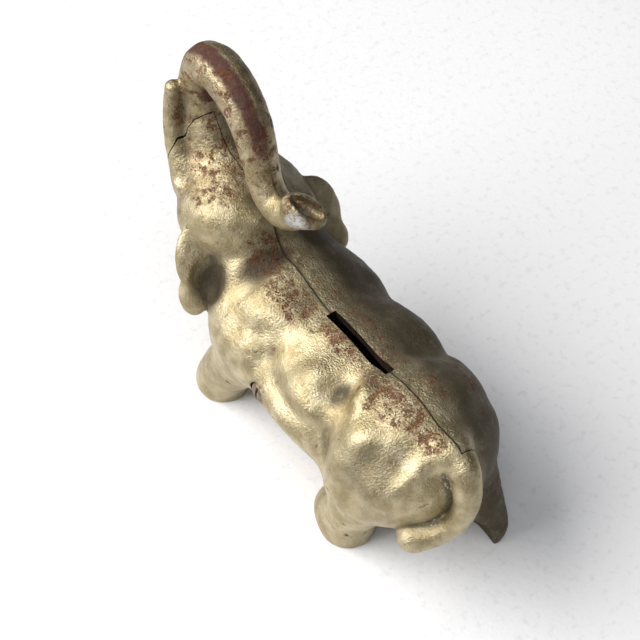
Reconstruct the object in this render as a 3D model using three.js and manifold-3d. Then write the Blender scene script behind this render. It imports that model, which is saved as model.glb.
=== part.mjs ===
// A still coin bank: a hollow cast-iron elephant in two halves, held by one long screw and a square nut.
// Millimetres. +Z is up, the head points to -Y and the elephant's left is +X.
import * as THREE from 'three';
import { mergeVertices } from 'three/addons/utils/BufferGeometryUtils.js';
import Module from 'manifold-3d';

const wasm = await Module();
wasm.setup();

// Castings.
const WALL = 3.6;
const JOINT_GAP = 0.3;
const SKIN_CELL = 3.4;
const CAVITY_CELL = 6.6;
const SKIN_TOLERANCE = 0.2;
const SLIVER = 0.03;
const REACH = 240;

// Coin slot, centred on the seam along the back.
const SLOT_LENGTH = 38;
const SLOT_WIDTH = 4.4;
const SLOT_Y = 22;
const SLOT_BOTTOM = 60;

// Screw, nut and the bosses they pull together.
const SCREW_Y = 3;
const SCREW_Z = 50.5;
const SHANK_RADIUS = 2.4;
const SHANK_END_X = -34.4;
const SHANK_TIP_RADIUS = 1.8;
const SHANK_TIP_LENGTH = 0.8;
const HOLE_RADIUS = 2.5;
const BOSS_RADIUS = 6.2;
const HEAD_RADIUS = 4.8;
const HEAD_HEIGHT = 3;
const HEAD_RIM = 1;
const DOME_STEPS = 5;
const SEAT_RADIUS = 5.4;
const SEAT_X = 32.6;
const DRIVER_SLOT_WIDTH = 1.2;
const DRIVER_SLOT_DEPTH = 1.3;
const NUT_SIDE = 9.5;
const NUT_THICKNESS = 3.2;
const NUT_SEAT_X = -30.4;
const NUT_CLEARANCE = 0.3;
const NUT_SEAT_GAP = 0.1;
const ROUND_SIDES = 24;

// Where the seam leaves the middle, as [y, z] outlines: the muzzle and trunk belong to the right half
// over its whole width, the tail to the left half as far over as TAIL_KEY_X.
const MUZZLE_KEY = [
  [-140, 60], [-92, 78], [-86, 90], [-82, 100], [-80, 110], [-80.5, 115], [-79, 119.5], [-76, 122.5],
  [-73, 121.5], [-70, 117], [-66, 113], [-58, 111], [-50, 108.5], [-44, 105], [-38, 100.5], [-30, 99.5],
  [-20, 103], [0, 112], [0, 175], [-140, 175],
];
const TAIL_KEY = [[84, 96], [84, 66], [86.5, 60], [86.5, 22], [130, 22], [130, 96]];
const TAIL_KEY_X = -9.5;

// Rounded masses: centre, radii and turn about X, Y and Z in degrees. Every blend is the width over
// which a shape melts into what is already there.
const TORSO = [
  { at: [0, -19, 51], radii: [35.5, 31, 29], blend: 0 },
  { at: [0, 20, 51.5], radii: [35, 44, 27], blend: 9 },
  { at: [0, 56, 51.5], radii: [34.2, 31, 32.5], blend: 12 },
  { at: [0, -36, 62], radii: [27, 28, 25], turn: [-30, 0, 0], blend: 10 },
  { at: [0, -58, 86], radii: [27, 25, 20.5], turn: [-6, 0, 0], blend: 5 },
];
const MUZZLE = { at: [0, -75, 92], radii: [17, 18, 19], blend: 8 };
const MOUTH = { at: [0, -95, 99], radii: [9, 10, 2.2], turn: [-38, 0, 0], blend: 2 };
const EYE = { at: [19.5, -73, 95], radii: [3.2, 3.8, 3], blend: 2 };
const LEFT_EAR = [
  { at: [26, -51, 76], radii: [10.5, 4, 16.5], turn: [24, -12, -8], blend: 3 },
  { at: [31.5, -47, 62.5], radii: [7, 4.6, 11], turn: [26, -10, -28], blend: 3 },
];
const LEFT_DISH = { at: [30, -41.5, 72], radii: [6.5, 6, 10], turn: [24, -12, -14], blend: 3 };
const RIGHT_EAR = [
  { at: [-28, -47, 75], radii: [10.5, 4.2, 15.5], turn: [24, 12, 8], blend: 3 },
  { at: [-33.5, -41, 61.5], radii: [5, 4.6, 8.5], turn: [26, 10, 10], blend: 3 },
];
const RIGHT_DISH = { at: [-30, -36.5, 71], radii: [5, 5, 8.5], turn: [24, 12, 14], blend: 3 };
const TRUNK_TIP = { at: [-2, -17.8, 115.2], radii: [9.4, 5.8, 5.8], turn: [33.3, 19.5, 118.1], blend: 3 };
const TRUNK_MOUTH = { at: [-2.2, -15.2, 119.4], radii: [8.2, 2.8, 5.5], turn: [33.3, 19.5, 118.1], blend: 1 };
const LEFT_HIND_TOE = { at: [21.5, 40, 5], radii: [10.5, 10, 9], blend: 5 };
const RIGHT_HIND_INSTEP = { at: [-12.5, 82, 2], radii: [9, 16, 14], blend: 1 };
const TAIL_ROOT = { at: [0, 76, 74], radii: [9.5, 10, 7.5], turn: [25, 0, 0], blend: 7 };

// Tapering limbs: [x, y, z, radius] along the middle line.
const LEGS = [
  { line: [[16, -20, 48, 18], [20.5, -29, 30, 13.5], [23.5, -38, 15, 11.8], [24.8, -42, 4, 12]], blend: 10 },
  { line: [[-16, -14, 48, 18], [-20, -14, 30, 14], [-22, -16, 15, 12.2], [-22.5, -18, 4, 12]], blend: 10 },
  { line: [[14, 54, 48, 18], [19, 53, 30, 13], [21.5, 49, 15, 11.5], [22, 47, 4, 12]], blend: 10 },
  { line: [[-14, 58, 48, 18], [-19, 66, 30, 14], [-21.5, 76, 14, 10.5], [-22.2, 79.5, 4, 10]], blend: 10 },
];
const TRUNK = {
  line: [
    [0, -74, 94, 13.5], [0, -80, 106, 12], [-0.8, -85, 119, 10], [-1.3, -85.5, 131.5, 9.2],
    [-1.3, -81, 141, 9], [-1.3, -71.5, 145.4, 8.9], [-1.2, -60, 143.2, 8.6], [-0.9, -51, 135.3, 8.1],
    [-0.5, -45.5, 124.6, 7.5], [0.2, -41.2, 113.8, 6.9], [0.2, -34.7, 106.6, 6.6],
    [-0.5, -26.2, 107.6, 6.7], [-1.6, -19, 113.2, 6],
  ],
  blend: 4,
};
const JAW = { line: [[0, -62, 80, 14], [0, -80, 84, 9], [0, -92, 91, 5.5]], blend: 6 };
const TUSK = {
  line: [[15, -74, 92, 7], [14.5, -83, 108, 4.6], [13, -87, 121, 3.4], [11, -88, 131, 3]],
  blend: 2.5,
};
const TAIL = {
  line: [
    [0, 77, 73, 6.5], [0, 85.5, 72, 6.3], [1.8, 91.5, 61, 5.2], [4.5, 91.5, 49, 4.5],
    [10, 88, 40.5, 4.9], [17.5, 82, 36.5, 6.6],
  ],
  blend: 2,
};

// Soft swellings of the skin, or hollows where the height is negative, on the left side. The right side
// has the same ones, lower by RIGHT_SHARE, and a few of its own. A swelling is taken to end SWELL_REACH
// of its longest radii outside the ball round it.
const SWELL_REACH = 1.5;
const RIGHT_SHARE = 0.35;
const RIGHT_RELIEF = [
  { at: [-20, -52, 97], radii: [10, 14, 9], height: -3.6 }, // crown falls away
  { at: [-22, -41, 86], radii: [9, 8, 9], height: 3.6 }, // web between crown and ear
  { at: [-32, 22, 62], radii: [10, 26, 14], height: 2.6 }, // even flank
  { at: [-29, 44, 66], radii: [9, 10, 11], height: 1.6 }, // flank into thigh
];
const RELIEF = [
  { at: [20, -15, 77], radii: [12, 12, 9], height: 2.4 }, // shoulder top
  { at: [31, -24, 62], radii: [9, 11, 13], height: 1.6 }, // shoulder blade
  { at: [30, -17, 68], radii: [5, 4.5, 6], height: -1.5 },
  { at: [25, -9.5, 70], radii: [5, 4, 6], height: -1.7 },
  { at: [30, -9, 63], radii: [6.5, 6, 7], height: 2 },
  { at: [26, -1.5, 68], radii: [5, 5, 7], height: -1.6 },
  { at: [14, -4, 79], radii: [9, 8, 7], turn: [0, 20, 0], height: 1.2 }, // withers
  { at: [34, 0, 49], radii: [8, 10, 13], turn: [10, 0, 0], height: 2.4 }, // first rib
  { at: [17, 12.5, 77], radii: [7, 5, 7], height: -1.8 },
  { at: [22, 21, 75], radii: [8, 7.5, 8], height: 2.2 }, // loin
  { at: [18, 33, 76], radii: [7, 5, 9], height: -3.8 }, // in front of the hip
  { at: [13, 41.5, 80.5], radii: [11, 4.2, 7], turn: [0, 0, 22], height: 3 }, // fold before the hip
  { at: [24, 41, 74], radii: [5, 4, 6], height: -1.8 },
  { at: [29, 27, 68], radii: [7, 14, 6], height: 2.2 }, // upper flank fold
  { at: [34, 20, 62], radii: [7, 17, 3.8], turn: [-6, 0, 0], height: -2.4 }, // groove under it
  { at: [36, 14, 54], radii: [7, 15, 6.5], turn: [-6, 0, 0], height: 1.8 }, // lower flank fold
  { at: [31, 39, 62], radii: [8, 4.8, 15], turn: [20, 0, 0], height: -4 }, // belly from thigh
  { at: [26, 56, 76], radii: [8, 7.5, 8], height: 3 }, // hip knob
  { at: [34, 53, 64], radii: [8, 8, 9], height: 2.4 }, // thigh knob
  { at: [27, 64, 74], radii: [6, 5, 7], height: -2.2 },
  { at: [20, 72, 74], radii: [9, 4.6, 9], turn: [0, 35, 0], height: -2.4 }, // rump crease
  { at: [15, 78, 73], radii: [10, 6, 8], turn: [0, 38, 0], height: 1.8 }, // rump ridge
  { at: [35, 62, 56], radii: [6.5, 6.5, 8], height: -2.2 },
  { at: [28, 74, 60], radii: [10, 9, 9], height: 2 }, // buttock
  { at: [34, 58, 45], radii: [9, 16, 8], height: 2.6 }, // lower thigh edge
  { at: [19, -47, 99], radii: [13, 13, 11], height: 2.6 }, // crown dome
  { at: [27, -60, 86], radii: [7, 8, 8], height: 1.2 }, // cheek
  { at: [21, -72, 103], radii: [6, 5, 8], height: -1.8 }, // cheek from crown
  { at: [19, -27.5, 83], radii: [17, 5, 9], height: -4.5 }, // head from neck
  { at: [0, -27, 84], radii: [9, 5, 7], height: -1.6 }, // nape
  { at: [0, -43, 103], radii: [9, 9, 9], height: -2.2 }, // under the trunk's tip
  { at: [28, -37, 54], radii: [10, 9, 14], height: 2.6 }, // breast
];

// ---- Distance fields -------------------------------------------------------------------------

// Smooth minimum of two distances: the blend is the width over which they melt together.
function smoothMin(a, b, blend) {
  if (blend <= 0) return Math.min(a, b);
  const overlap = Math.max(blend - Math.abs(a - b), 0) / blend;
  return Math.min(a, b) - overlap * overlap * overlap * blend / 6;
}

// A turned ellipsoid. Its depth is the squared distance from the middle, 1 on the surface; its distance
// is signed and near enough for blending.
function mass({ at, radii, turn = [0, 0, 0] }) {
  const angles = turn.map(THREE.MathUtils.degToRad);
  const toLocal = new THREE.Matrix4().makeRotationFromEuler(new THREE.Euler(...angles, 'ZYX')).transpose();
  const local = new THREE.Vector3();
  const scaled = (x, y, z) => {
    local.set(x - at[0], y - at[1], z - at[2]).applyMatrix4(toLocal);
    return [local.x / radii[0], local.y / radii[1], local.z / radii[2]];
  };
  const depth = (x, y, z) => {
    const [u, v, w] = scaled(x, y, z);
    return u * u + v * v + w * w;
  };
  const distance = (x, y, z) => {
    const [u, v, w] = scaled(x, y, z);
    const inner = Math.hypot(u, v, w);
    const slope = Math.hypot(u / radii[0], v / radii[1], w / radii[2]) + 1e-6;
    return inner * (inner - 1) / slope;
  };
  return { distance, depth, ball: [...at, Math.max(...radii)] };
}

// Uniform Catmull-Rom line through [x, y, z, radius] stations.
function smoothLine(stations, steps = 4) {
  const extend = (a, b) => a.map((value, i) => 2 * value - b[i]);
  const first = extend(stations[0], stations[1]);
  const last = extend(stations.at(-1), stations.at(-2));
  const all = [first, ...stations, last];
  const line = [];
  for (let i = 1; i < all.length - 2; i += 1) {
    const [a, b, c, d] = all.slice(i - 1, i + 3);
    for (let step = 0; step < steps; step += 1) {
      const t = step / steps;
      line.push(a.map((_, k) => 0.5 * (
        2 * b[k] + (c[k] - a[k]) * t + (2 * a[k] - 5 * b[k] + 4 * c[k] - d[k]) * t * t
        + (3 * b[k] - a[k] - 3 * c[k] + d[k]) * t * t * t)));
    }
  }
  line.push(stations.at(-1));
  return line;
}

// A chain of tapering round segments.
function limb({ line }) {
  const stations = smoothLine(line);
  const distance = (x, y, z) => {
    let best = Infinity;
    for (let i = 0; i + 1 < stations.length; i += 1) {
      const [ax, ay, az, ar] = stations[i];
      const [bx, by, bz, br] = stations[i + 1];
      const [ux, uy, uz] = [bx - ax, by - ay, bz - az];
      const along = ((x - ax) * ux + (y - ay) * uy + (z - az) * uz) / (ux * ux + uy * uy + uz * uz);
      const t = THREE.MathUtils.clamp(along, 0, 1);
      const away = Math.hypot(x - ax - t * ux, y - ay - t * uy, z - az - t * uz);
      best = Math.min(best, away - ar - t * (br - ar));
    }
    return best;
  };
  return { distance, ball: ballRound(line) };
}

// Ball [x, y, z, radius] round a set of smaller balls.
function ballRound(balls) {
  const middle = [0, 1, 2].map((k) => balls.reduce((sum, ball) => sum + ball[k], 0) / balls.length);
  const far = ([x, y, z, r]) => Math.hypot(x - middle[0], y - middle[1], z - middle[2]) + r;
  return [...middle, Math.max(...balls.map(far))];
}

// The same shape on the other side of the middle plane.
function mirrored({ distance, depth, ball: [bx, by, bz, radius] }) {
  return {
    distance: (x, y, z) => distance(-x, y, z),
    depth: depth && ((x, y, z) => depth(-x, y, z)),
    ball: [-bx, by, bz, radius],
  };
}

const outsideBall = ([bx, by, bz, radius], x, y, z) => Math.hypot(x - bx, y - by, z - bz) - radius;

// Steps that change a field's value at a point. A shape too far off to matter is passed over.
const join = ({ distance, ball }, blend) => (d, x, y, z) => (
  outsideBall(ball, x, y, z) > d + blend ? d : smoothMin(d, distance(x, y, z), blend));
const carve = ({ distance, ball }, blend) => (d, x, y, z) => (
  outsideBall(ball, x, y, z) > blend - d ? d : -smoothMin(-d, distance(x, y, z), blend));
const swell = ({ depth, ball }, height) => (d, x, y, z) => (
  outsideBall(ball, x, y, z) > SWELL_REACH * ball[3] ? d : d - height * Math.exp(-depth(x, y, z)));
const inSteps = (steps) => (x, y, z) => steps.reduce((d, step) => step(d, x, y, z), Infinity);

const joinMass = (shape) => join(mass(shape), shape.blend);
const carveMass = (shape) => carve(mass(shape), shape.blend);
const joinLimb = (shape) => join(limb(shape), shape.blend);
const torso = TORSO.map(joinMass);
const relief = [
  ...RELIEF.flatMap((shape) => [
    swell(mass(shape), shape.height),
    swell(mirrored(mass(shape)), shape.height * RIGHT_SHARE),
  ]),
  ...RIGHT_RELIEF.map((shape) => swell(mass(shape), shape.height)),
];

const animalField = inSteps([
  ...torso,
  ...LEGS.map(joinLimb),
  ...relief,
  joinMass(MUZZLE),
  joinLimb(JAW),
  carveMass(MOUTH),
  joinLimb(TUSK),
  join(mirrored(limb(TUSK)), TUSK.blend),
  joinMass(EYE),
  join(mirrored(mass(EYE)), EYE.blend),
  ...LEFT_EAR.map(joinMass),
  carveMass(LEFT_DISH),
  ...RIGHT_EAR.map(joinMass),
  carveMass(RIGHT_DISH),
  joinLimb(TRUNK),
  joinMass(TRUNK_TIP),
  carveMass(TRUNK_MOUTH),
  joinMass(LEFT_HIND_TOE),
  carveMass(RIGHT_HIND_INSTEP),
  joinMass(TAIL_ROOT),
  joinLimb(TAIL),
]);
const torsoField = inSteps(torso);
const cavityField = (x, y, z) => torsoField(x, y, z) + WALL;

// ---- Fields into closed meshes ---------------------------------------------------------------

const CORNERS = [[0, 0, 0], [1, 0, 0], [0, 1, 0], [1, 1, 0], [0, 0, 1], [1, 0, 1], [0, 1, 1], [1, 1, 1]];
const EDGES = [
  [0, 1], [2, 3], [4, 5], [6, 7], [0, 2], [1, 3], [4, 6], [5, 7], [0, 4], [1, 5], [2, 6], [3, 7],
];
const FACES = [[0, 1, 3, 2], [4, 5, 7, 6], [0, 1, 5, 4], [2, 3, 7, 6], [0, 2, 6, 4], [1, 3, 7, 5]];
const edgeKey = (a, b) => Math.min(a, b) * 8 + Math.max(a, b);
const SKIN_BOX = { low: [-46, -112, -14], high: [46, 112, 166] };

// Moves a cell's vertex along the field's slope until it lies on the surface, without leaving the cell.
function ontoSurface(field, p, corner, cell) {
  const step = 0.05;
  const margin = 0.02 * cell;
  for (let pass = 0; pass < 3; pass += 1) {
    const d = field(...p);
    const slope = [0, 1, 2].map((k) => {
      const q = [...p];
      q[k] += step;
      return (field(...q) - d) / step;
    });
    const steepness = Math.max(slope[0] ** 2 + slope[1] ** 2 + slope[2] ** 2, 0.2);
    p = p.map((value, k) => THREE.MathUtils.clamp(
      value - d * slope[k] / steepness, corner[k] + margin, corner[k] + cell - margin));
  }
  return p;
}

// Sorts a cell's cut edges into the separate sheets of surface that cross it.
// Two cut edges of one face are joined when a run of inside corners lies between them.
function edgeSheets(at) {
  const sheets = new Map();
  for (const [a, b] of EDGES) {
    if ((at[a] < 0) !== (at[b] < 0)) sheets.set(edgeKey(a, b), edgeKey(a, b));
  }
  for (const face of FACES) {
    for (let i = 0; i < 4; i += 1) {
      const leaving = [face[i], face[(i + 1) % 4]];
      if (!(at[leaving[0]] < 0) || at[leaving[1]] < 0) continue;
      let j = i;
      while (at[face[j]] < 0) j = (j + 3) % 4;
      const kept = sheets.get(edgeKey(...leaving));
      const joined = sheets.get(edgeKey(face[j], face[(j + 1) % 4]));
      for (const [edge, sheet] of sheets) {
        if (sheet === joined) sheets.set(edge, kept);
      }
    }
  }
  return sheets;
}

// Surface nets: one vertex for each sheet of surface in a cell, one quad across each cut grid edge.
function fieldSolid(field, cell, { low, high }) {
  const count = low.map((value, k) => Math.ceil((high[k] - value) / cell) + 1);
  const index = (i, j, k) => (k * count[1] + j) * count[0] + i;
  const place = (i, j, k) => [low[0] + i * cell, low[1] + j * cell, low[2] + k * cell];
  const values = new Float64Array(count[0] * count[1] * count[2]);
  for (let k = 0; k < count[2]; k += 1) {
    for (let j = 0; j < count[1]; j += 1) {
      for (let i = 0; i < count[0]; i += 1) values[index(i, j, k)] = field(...place(i, j, k));
    }
  }
  const vertices = [];
  const edgesOfCell = new Map();
  for (let k = 0; k + 1 < count[2]; k += 1) {
    for (let j = 0; j + 1 < count[1]; j += 1) {
      for (let i = 0; i + 1 < count[0]; i += 1) {
        const at = CORNERS.map(([a, b, c]) => values[index(i + a, j + b, k + c)]);
        const sheets = edgeSheets(at);
        if (sheets.size === 0) continue;
        const corner = place(i, j, k);
        const vertexOfSheet = new Map();
        for (const sheet of new Set(sheets.values())) {
          const edges = EDGES.filter(([a, b]) => sheets.get(edgeKey(a, b)) === sheet);
          const middle = [0, 0, 0];
          for (const [a, b] of edges) {
            const t = at[a] / (at[a] - at[b]);
            for (let axis = 0; axis < 3; axis += 1) {
              middle[axis] += (CORNERS[a][axis] * (1 - t) + CORNERS[b][axis] * t) / edges.length;
            }
          }
          vertexOfSheet.set(sheet, vertices.length / 3);
          const start = corner.map((value, axis) => value + middle[axis] * cell);
          vertices.push(...ontoSurface(field, start, corner, cell));
        }
        const vertexOfEdge = new Map([...sheets].map(([edge, sheet]) => [edge, vertexOfSheet.get(sheet)]));
        edgesOfCell.set(index(i, j, k), vertexOfEdge);
      }
    }
  }
  const triangles = [];
  for (let axis = 0; axis < 3; axis += 1) {
    const u = (axis + 1) % 3;
    const v = (axis + 2) % 3;
    for (let k = 1; k + 1 < count[2]; k += 1) {
      for (let j = 1; j + 1 < count[1]; j += 1) {
        for (let i = 1; i + 1 < count[0]; i += 1) {
          const here = [i, j, k];
          const next = [...here];
          next[axis] += 1;
          const inside = values[index(...here)] < 0;
          if (inside === values[index(...next)] < 0) continue;
          const quad = [[0, 0], [1, 0], [1, 1], [0, 1]].map(([du, dv]) => {
            const around = [...here];
            around[u] -= du;
            around[v] -= dv;
            const near = du * 2 ** u + dv * 2 ** v;
            return edgesOfCell.get(index(...around)).get(edgeKey(near, near + 2 ** axis));
          });
          const [a, b, c, d] = inside ? quad : quad.reverse();
          triangles.push(a, b, c, a, c, d);
        }
      }
    }
  }
  return new wasm.Manifold(new wasm.Mesh({
    numProp: 3,
    vertProperties: new Float32Array(vertices),
    triVerts: new Uint32Array(triangles),
  }));
}

// ---- Plain solids ----------------------------------------------------------------------------

// A three.js geometry as a manifold solid.
function solid(geometry) {
  const bare = geometry.clone();
  bare.deleteAttribute('normal');
  bare.deleteAttribute('uv');
  const merged = mergeVertices(bare, 1e-4);
  return new wasm.Manifold(new wasm.Mesh({
    numProp: 3,
    vertProperties: new Float32Array(merged.attributes.position.array),
    triVerts: new Uint32Array(merged.index.array),
  }));
}

// Box from its lowest to its highest corner.
function box(low, high) {
  const size = high.map((value, i) => value - low[i]);
  const geometry = new THREE.BoxGeometry(...size);
  geometry.translate(...low.map((value, i) => value + size[i] / 2));
  return solid(geometry);
}

// Round bar along X on the screw's line.
function barX(radius, x0, x1) {
  const geometry = new THREE.CylinderGeometry(radius, radius, x1 - x0, ROUND_SIDES);
  geometry.rotateZ(-Math.PI / 2);
  geometry.translate((x0 + x1) / 2, SCREW_Y, SCREW_Z);
  return solid(geometry);
}

// Prism along X over an outline of [y, z] points.
function prismX(outline, x0, x1) {
  const shape = new THREE.Shape(outline.map(([y, z]) => new THREE.Vector2(y, z)));
  const geometry = new THREE.ExtrudeGeometry(shape, { depth: x1 - x0, bevelEnabled: false });
  const axes = new THREE.Matrix4().makeBasis(
    new THREE.Vector3(0, 1, 0), new THREE.Vector3(0, 0, 1), new THREE.Vector3(1, 0, 0));
  geometry.applyMatrix4(axes);
  geometry.translate(x0, 0, 0);
  return solid(geometry);
}

// ---- The castings ----------------------------------------------------------------------------

const half = JOINT_GAP / 2;
const aboveGround = box([-REACH, -REACH, 0], [REACH, REACH, REACH]);
const skin = fieldSolid(animalField, SKIN_CELL, SKIN_BOX).simplify(SKIN_TOLERANCE).intersect(aboveGround);
const cavity = fieldSolid(cavityField, CAVITY_CELL, SKIN_BOX);
const boss = barX(BOSS_RADIUS, -REACH, REACH).intersect(skin);
const coinSlot = box(
  [-SLOT_WIDTH / 2, SLOT_Y - SLOT_LENGTH / 2, SLOT_BOTTOM],
  [SLOT_WIDTH / 2, SLOT_Y + SLOT_LENGTH / 2, REACH]);
const screwHole = barX(HOLE_RADIUS, -REACH, REACH);
const headSeat = barX(SEAT_RADIUS, SEAT_X, REACH);
const nutHalf = NUT_SIDE / 2 + NUT_CLEARANCE;
const nutPocket = box(
  [-REACH, SCREW_Y - nutHalf, SCREW_Z - nutHalf],
  [NUT_SEAT_X, SCREW_Y + nutHalf, SCREW_Z + nutHalf]);
const shell = skin.subtract(cavity).add(boss)
  .subtract(coinSlot).subtract(screwHole).subtract(headSeat).subtract(nutPocket);

// A key's outline moved to the four corners of the joint gap, as one solid.
function widenedKey(outline, x0, x1) {
  return [[-1, -1], [-1, 1], [1, -1], [1, 1]]
    .map(([dy, dz]) => prismX(outline, x0, x1).translate([0, dy * JOINT_GAP, dz * JOINT_GAP]))
    .reduce((all, moved) => all.add(moved));
}

const leftSide = box([half, -REACH, -1], [REACH, REACH, REACH])
  .subtract(widenedKey(MUZZLE_KEY, -1, REACH))
  .add(prismX(TAIL_KEY, TAIL_KEY_X, 1));
const rightSide = box([-REACH, -REACH, -1], [-half, REACH, REACH])
  .subtract(widenedKey(TAIL_KEY, TAIL_KEY_X - JOINT_GAP, 1))
  .add(prismX(MUZZLE_KEY, -1, REACH));

const leftCasting = shell.intersect(leftSide).simplify(SLIVER);
const rightCasting = shell.intersect(rightSide).simplify(SLIVER);

// ---- Screw and nut ---------------------------------------------------------------------------

// Domed head turned about the screw's line, with a driver slot across it.
function clampScrew() {
  const base = SEAT_X + JOINT_GAP;
  const tip = SHANK_END_X - base;
  const dome = [];
  for (let i = 0; i < DOME_STEPS; i += 1) {
    const angle = (i / DOME_STEPS) * Math.PI / 2;
    const rise = (HEAD_HEIGHT - HEAD_RIM) * Math.sin(angle);
    dome.push(new THREE.Vector2(HEAD_RADIUS * Math.cos(angle), HEAD_RIM + rise));
  }
  const profile = [
    new THREE.Vector2(0, tip),
    new THREE.Vector2(SHANK_TIP_RADIUS, tip),
    new THREE.Vector2(SHANK_RADIUS, tip + SHANK_TIP_LENGTH),
    new THREE.Vector2(SHANK_RADIUS, 0),
    new THREE.Vector2(HEAD_RADIUS, 0),
    ...dome,
    new THREE.Vector2(0, HEAD_HEIGHT),
  ];
  const geometry = new THREE.LatheGeometry(profile, ROUND_SIDES);
  geometry.rotateZ(-Math.PI / 2);
  geometry.translate(base, SCREW_Y, SCREW_Z);
  const driverSlot = box(
    [base + HEAD_HEIGHT - DRIVER_SLOT_DEPTH, SCREW_Y - DRIVER_SLOT_WIDTH / 2, SCREW_Z - SEAT_RADIUS],
    [REACH, SCREW_Y + DRIVER_SLOT_WIDTH / 2, SCREW_Z + SEAT_RADIUS]);
  return solid(geometry).subtract(driverSlot);
}

function squareNut() {
  const x1 = NUT_SEAT_X - NUT_SEAT_GAP;
  const side = NUT_SIDE / 2;
  const block = box(
    [x1 - NUT_THICKNESS, SCREW_Y - side, SCREW_Z - side],
    [x1, SCREW_Y + side, SCREW_Z + side]);
  return block.subtract(barX(HOLE_RADIUS, -REACH, REACH));
}

// ---- Named nodes -----------------------------------------------------------------------------

const GILT = { color: 0xaa9b6e, roughness: 0.45, metalness: 0.7 };
const OLD_STEEL = { color: 0x5b5148, roughness: 0.7, metalness: 0.6 };

function node(name, manifold, look) {
  const { vertProperties, triVerts } = manifold.getMesh();
  const geometry = new THREE.BufferGeometry();
  geometry.setAttribute('position', new THREE.BufferAttribute(new Float32Array(vertProperties), 3));
  geometry.setIndex(new THREE.BufferAttribute(new Uint32Array(triVerts), 1));
  geometry.computeVertexNormals();
  const mesh = new THREE.Mesh(geometry, new THREE.MeshStandardMaterial(look));
  mesh.name = name;
  return mesh;
}

const bank = new THREE.Group();
bank.name = 'elephant_bank';
bank.add(
  node('right_casting', rightCasting, GILT),
  node('left_casting', leftCasting, GILT),
  node('clamp_screw', clampScrew(), OLD_STEEL),
  node('square_nut', squareNut(), OLD_STEEL),
);

export default bank;
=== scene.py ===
"""An old cast-iron elephant coin bank in two halves, gilt and rusty, on a pale floor.

The skin is sculpted as one distance field in millimetres, turned into a mesh, cut along the seam
and painted with procedural materials. +Z is up, the head points to -Y, the left side is +X.
"""
import itertools
import math

import bmesh
import bpy
import numpy as np
import openvdb
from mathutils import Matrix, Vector


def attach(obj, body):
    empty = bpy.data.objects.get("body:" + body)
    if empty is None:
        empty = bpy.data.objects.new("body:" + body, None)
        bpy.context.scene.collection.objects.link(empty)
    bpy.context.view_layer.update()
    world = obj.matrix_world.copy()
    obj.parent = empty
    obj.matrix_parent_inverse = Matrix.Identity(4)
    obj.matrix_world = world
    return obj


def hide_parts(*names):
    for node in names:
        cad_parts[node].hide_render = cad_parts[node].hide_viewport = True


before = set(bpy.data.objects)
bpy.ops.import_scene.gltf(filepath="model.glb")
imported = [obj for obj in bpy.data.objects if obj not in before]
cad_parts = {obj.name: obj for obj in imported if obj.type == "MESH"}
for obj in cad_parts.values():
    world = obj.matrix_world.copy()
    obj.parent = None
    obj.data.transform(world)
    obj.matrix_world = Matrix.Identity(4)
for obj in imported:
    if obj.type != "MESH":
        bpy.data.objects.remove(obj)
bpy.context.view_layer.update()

MM = 0.001

# ---- Driving sizes, in millimetres, the same as the CAD model's --------------------------------

WALL = 3.6
JOINT_GAP = 0.3
REACH = 240  # past the elephant on every side
SLOT_LENGTH, SLOT_WIDTH, SLOT_Y, SLOT_BOTTOM = 38, 4.4, 22, 60

# The screw's line and the bosses, hole and seats round it.
SCREW_Y, SCREW_Z = 3, 50.5
HOLE_RADIUS, BOSS_RADIUS = 2.5, 6.2
SEAT_RADIUS, SEAT_X = 5.4, 32.6
NUT_SEAT_X, NUT_SEAT_GAP, NUT_CLEARANCE = -30.4, 0.1, 0.3

# The screw, with a slotted domed head, and the nut. Threads are rings, near enough to a helix.
SHANK_RADIUS, SHANK_END_X, SHANK_TIP_TAPER, SHANK_TIP_LENGTH = 2.4, -34.4, 0.3, 0.5
HEAD_RADIUS, HEAD_HEIGHT, HEAD_RIM = 4.8, 3.0, 1.0
HEAD_BEVEL_INSET, HEAD_BEVEL_HEIGHT = 0.15, 0.2
DOME_STEPS = 8
DRIVER_SLOT_WIDTH, DRIVER_SLOT_DEPTH = 1.2, 1.3
THREAD_LENGTH, THREAD_PITCH, THREAD_DEPTH = 18, 1.1, 0.45
THREAD_CREST = (0.45, 0.6)  # where a crest starts and ends, in pitches
NUT_SIDE, NUT_THICKNESS, NUT_CORNER = 9.5, 3.2, 0.9
NUT_THREAD_PITCH, NUT_THREAD_DEPTH = 0.8, 0.3

# The grid that the skin is sculpted on. A shape is worked out only this far round itself.
VOXEL = 0.86
GRID_LOW = np.array([-46.0, -104.0, -6.0])
GRID_HIGH = np.array([46.0, 104.0, 160.0])
FAR = 12.0
EMPTY = 60.0
CLIP = 10

# Faces that meet at a steeper angle than this, in degrees, keep a crisp edge.
CASTING_EDGE, STEEL_EDGE = 42, 30

# Casting lumps: size and height.
LUMPS = [(13.0, 0.7), (5.0, 0.3), (1.8, 0.16)]
# Grime gathers where the skin lies below its own average over this radius.
HOLLOW_RADIUS = 2.6

# Where the seam leaves the middle, as (y, z) outlines: the muzzle and trunk belong to the right half
# over its whole width, the tail to the left half as far over as TAIL_KEY_X. The tail's key is straight,
# where the CAD model's steps back, so that its edge doesn't graze the skin of the rump.
MUZZLE_KEY = [
    (-140, 60), (-92, 78), (-86, 90), (-82, 100), (-80, 110), (-80.5, 115), (-79, 119.5), (-76, 122.5),
    (-73, 121.5), (-70, 117), (-66, 113), (-58, 111), (-50, 108.5), (-44, 105), (-38, 100.5), (-30, 99.5),
    (-20, 103), (0, 112), (0, 175), (-140, 175),
]
TAIL_KEY = [(84, 96), (84, 22), (130, 22), (130, 96)]
TAIL_KEY_X = -9.5
# In front of the withers the seam steps over to the left, so that no light comes through end to end.
STEP_Y, STEP = -10, 0.4

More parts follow.
